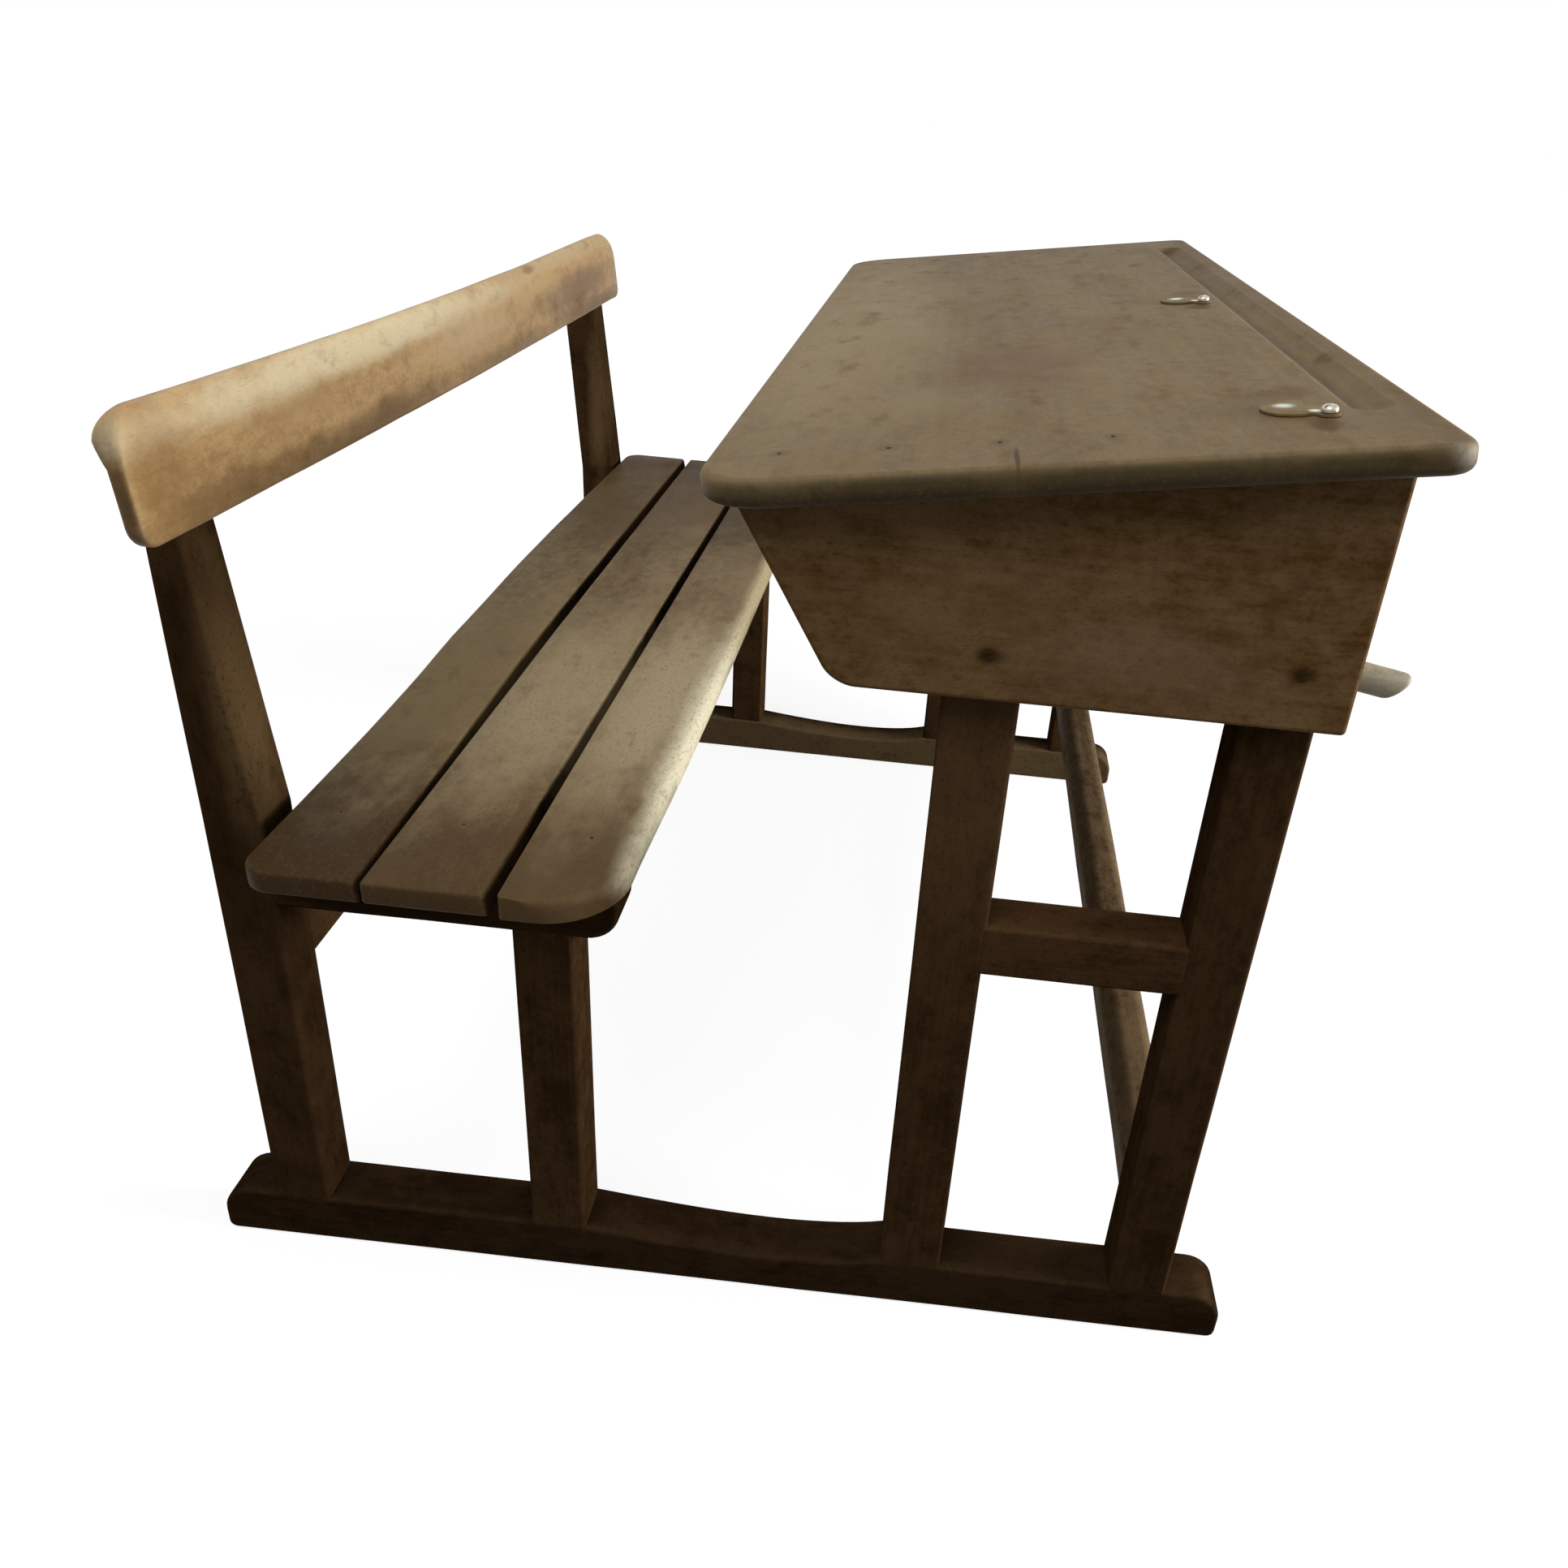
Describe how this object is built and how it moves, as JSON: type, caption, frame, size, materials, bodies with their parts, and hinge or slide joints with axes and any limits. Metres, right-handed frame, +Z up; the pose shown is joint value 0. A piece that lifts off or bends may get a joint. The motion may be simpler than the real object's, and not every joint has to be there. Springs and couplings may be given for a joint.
{
  "type": "double school desk",
  "caption": "Two-seat wooden school desk: sloping top over an open box, joined by floor sleds to a slatted bench with a backrest.",
  "frame": {"origin": "bottom centre of the whole desk's bounding box, on the floor", "axes": "+X from the back of the bench to the back of the desk, +Y along the length from the near end frame to the far one, +Z up"},
  "size_m": [0.8622, 1.084, 0.7769],
  "materials": {
    "frame_wood": "dark stained and waxed, worn",
    "rail_wood": "brown, scuffed by feet",
    "box_wood": "mid brown, dull varnish",
    "top_wood": "grey brown, worn and waxed",
    "seat_wood": "grey brown, polished by use",
    "backrest_wood": "light tan, polished by use",
    "peg_wood": "pale turned wood",
    "bright_metal": "plated, dulled and stained",
    "dark_iron": "rusted and oiled",
    "cup_glaze": "white glaze"
  },
  "bodies": {
    "desk": {"near_sled": "frame_wood", "far_sled": "frame_wood", "near_upright": "frame_wood", "far_upright": "frame_wood", "near_bench_leg": "frame_wood", "far_bench_leg": "frame_wood", "near_seat_bearer": "frame_wood", "far_seat_bearer": "frame_wood", "near_desk_front_leg": "frame_wood", "far_desk_front_leg": "frame_wood", "near_desk_back_leg": "frame_wood", "far_desk_back_leg": "frame_wood", "near_cross_rail": "frame_wood", "far_cross_rail": "frame_wood", "foot_rail": "rail_wood", "seat_apron": "rail_wood", "rear_slat": "seat_wood", "middle_slat": "seat_wood", "front_slat": "seat_wood", "backrest_board": "backrest_wood", "near_box_side": "box_wood", "far_box_side": "box_wood", "box_floor": "box_wood", "box_back": "box_wood", "box_divider": "box_wood", "near_top_cleat": "box_wood", "far_top_cleat": "box_wood", "desk_top": "top_wood", "near_satchel_peg": "peg_wood", "far_satchel_peg": "peg_wood", "near_inkwell_ring": "bright_metal", "far_inkwell_ring": "bright_metal", "near_ink_cup": "cup_glaze", "far_ink_cup": "cup_glaze", "near_cover_pivot": "bright_metal", "far_cover_pivot": "bright_metal", "near_backrest_screw_upper": "dark_iron", "near_backrest_screw_lower": "dark_iron", "far_backrest_screw_upper": "dark_iron", "far_backrest_screw_lower": "dark_iron", "near_rear_slat_nail": "dark_iron", "near_middle_slat_nail": "dark_iron", "near_front_slat_nail": "dark_iron", "far_rear_slat_nail": "dark_iron", "far_middle_slat_nail": "dark_iron", "far_front_slat_nail": "dark_iron", "near_box_screw_front": "dark_iron", "near_box_screw_back": "dark_iron", "far_box_screw_front": "dark_iron", "far_box_screw_back": "dark_iron", "near_top_nail_1": "dark_iron", "near_top_nail_2": "dark_iron", "near_top_nail_3": "dark_iron", "near_top_nail_4": "dark_iron", "far_top_nail_1": "dark_iron", "far_top_nail_2": "dark_iron", "far_top_nail_3": "dark_iron", "far_top_nail_4": "dark_iron"},
    "near_cover": {"near_inkwell_cover": "bright_metal"},
    "far_cover": {"far_inkwell_cover": "bright_metal"}
  },
  "joints": [
    {"name": "near_cover_swing", "type": "hinge", "parent": "desk", "child": "near_cover", "pos_m": [0.34037, -0.44732, 0.76967], "axis": [-0.1471, 0, 0.9891], "range_deg": [0, 110]},
    {"name": "far_cover_swing", "type": "hinge", "parent": "desk", "child": "far_cover", "pos_m": [0.34037, 0.00068, 0.76967], "axis": [-0.1471, 0, 0.9891], "range_deg": [0, 110]}
  ]
}
